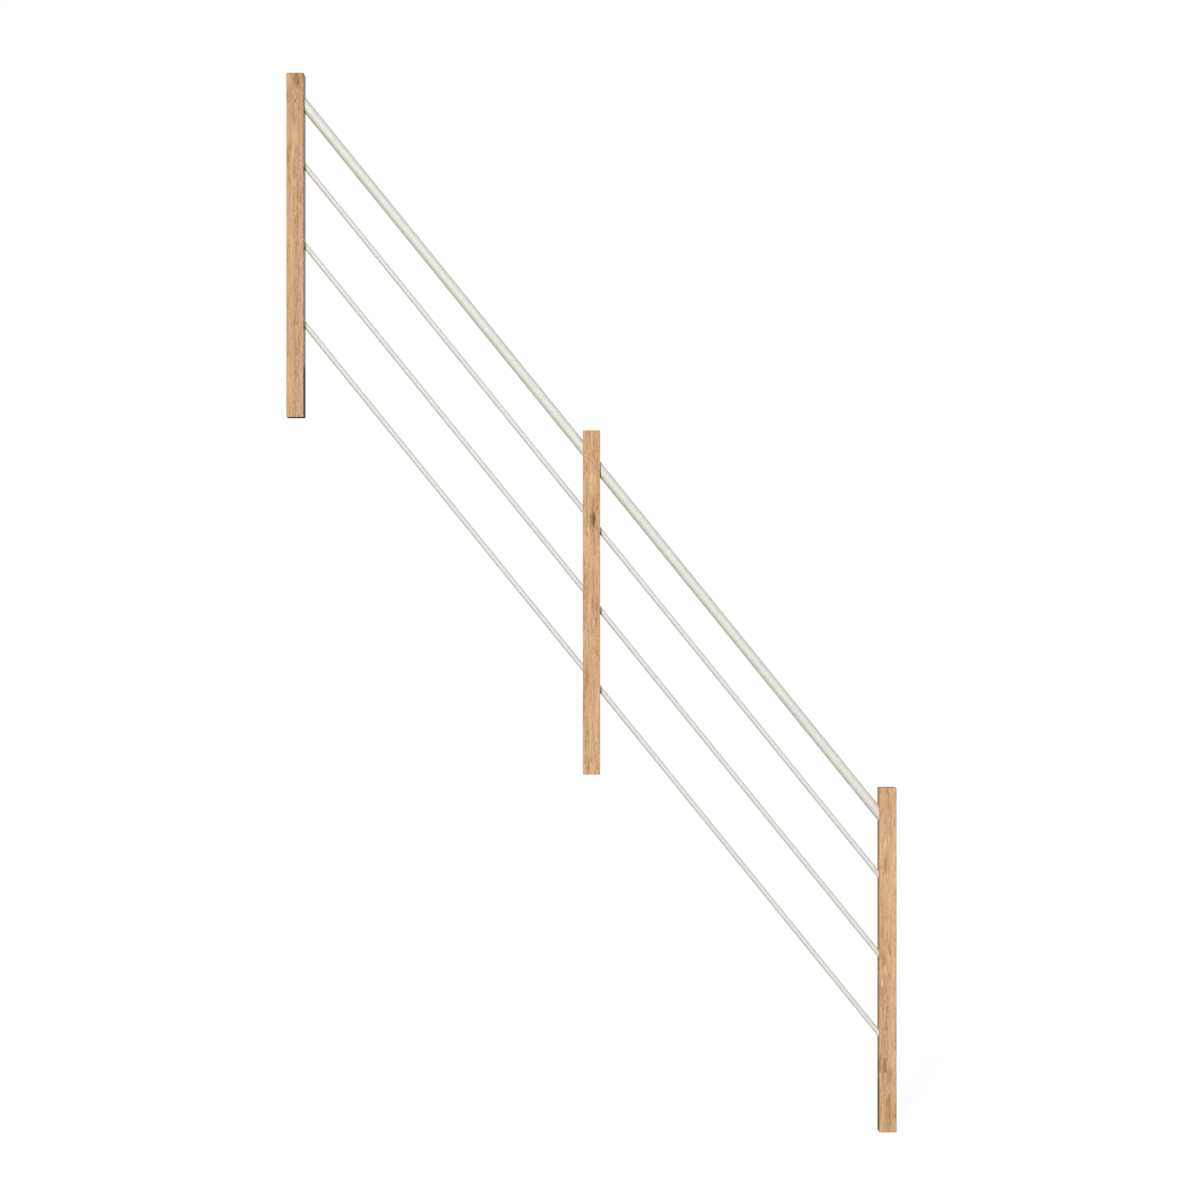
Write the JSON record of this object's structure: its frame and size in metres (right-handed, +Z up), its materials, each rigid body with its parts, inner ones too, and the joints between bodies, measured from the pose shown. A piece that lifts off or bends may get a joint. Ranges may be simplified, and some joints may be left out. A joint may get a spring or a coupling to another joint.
{
  "type": "stair balustrade panel",
  "caption": "Open stair balustrade panel: square oak posts stepping down a stair, joined by a sloping round steel handrail tube and thinner parallel steel rods.",
  "frame": {"origin": "middle of the lower post's sawn foot", "axes": "+X horizontally down the stair, +Y across the stair, +Z up"},
  "size_m": [1.595, 0.045, 2.77],
  "materials": {
    "oak": "clear matt oil",
    "satin_steel": "satin ground"
  },
  "bodies": {
    "root": {"upper_post": "oak", "middle_post": "oak", "lower_post": "oak", "upper_handrail": "satin_steel", "upper_top_rod": "satin_steel", "upper_middle_rod": "satin_steel", "upper_bottom_rod": "satin_steel", "lower_handrail": "satin_steel", "lower_top_rod": "satin_steel", "lower_middle_rod": "satin_steel", "lower_bottom_rod": "satin_steel"}
  },
  "joints": []
}
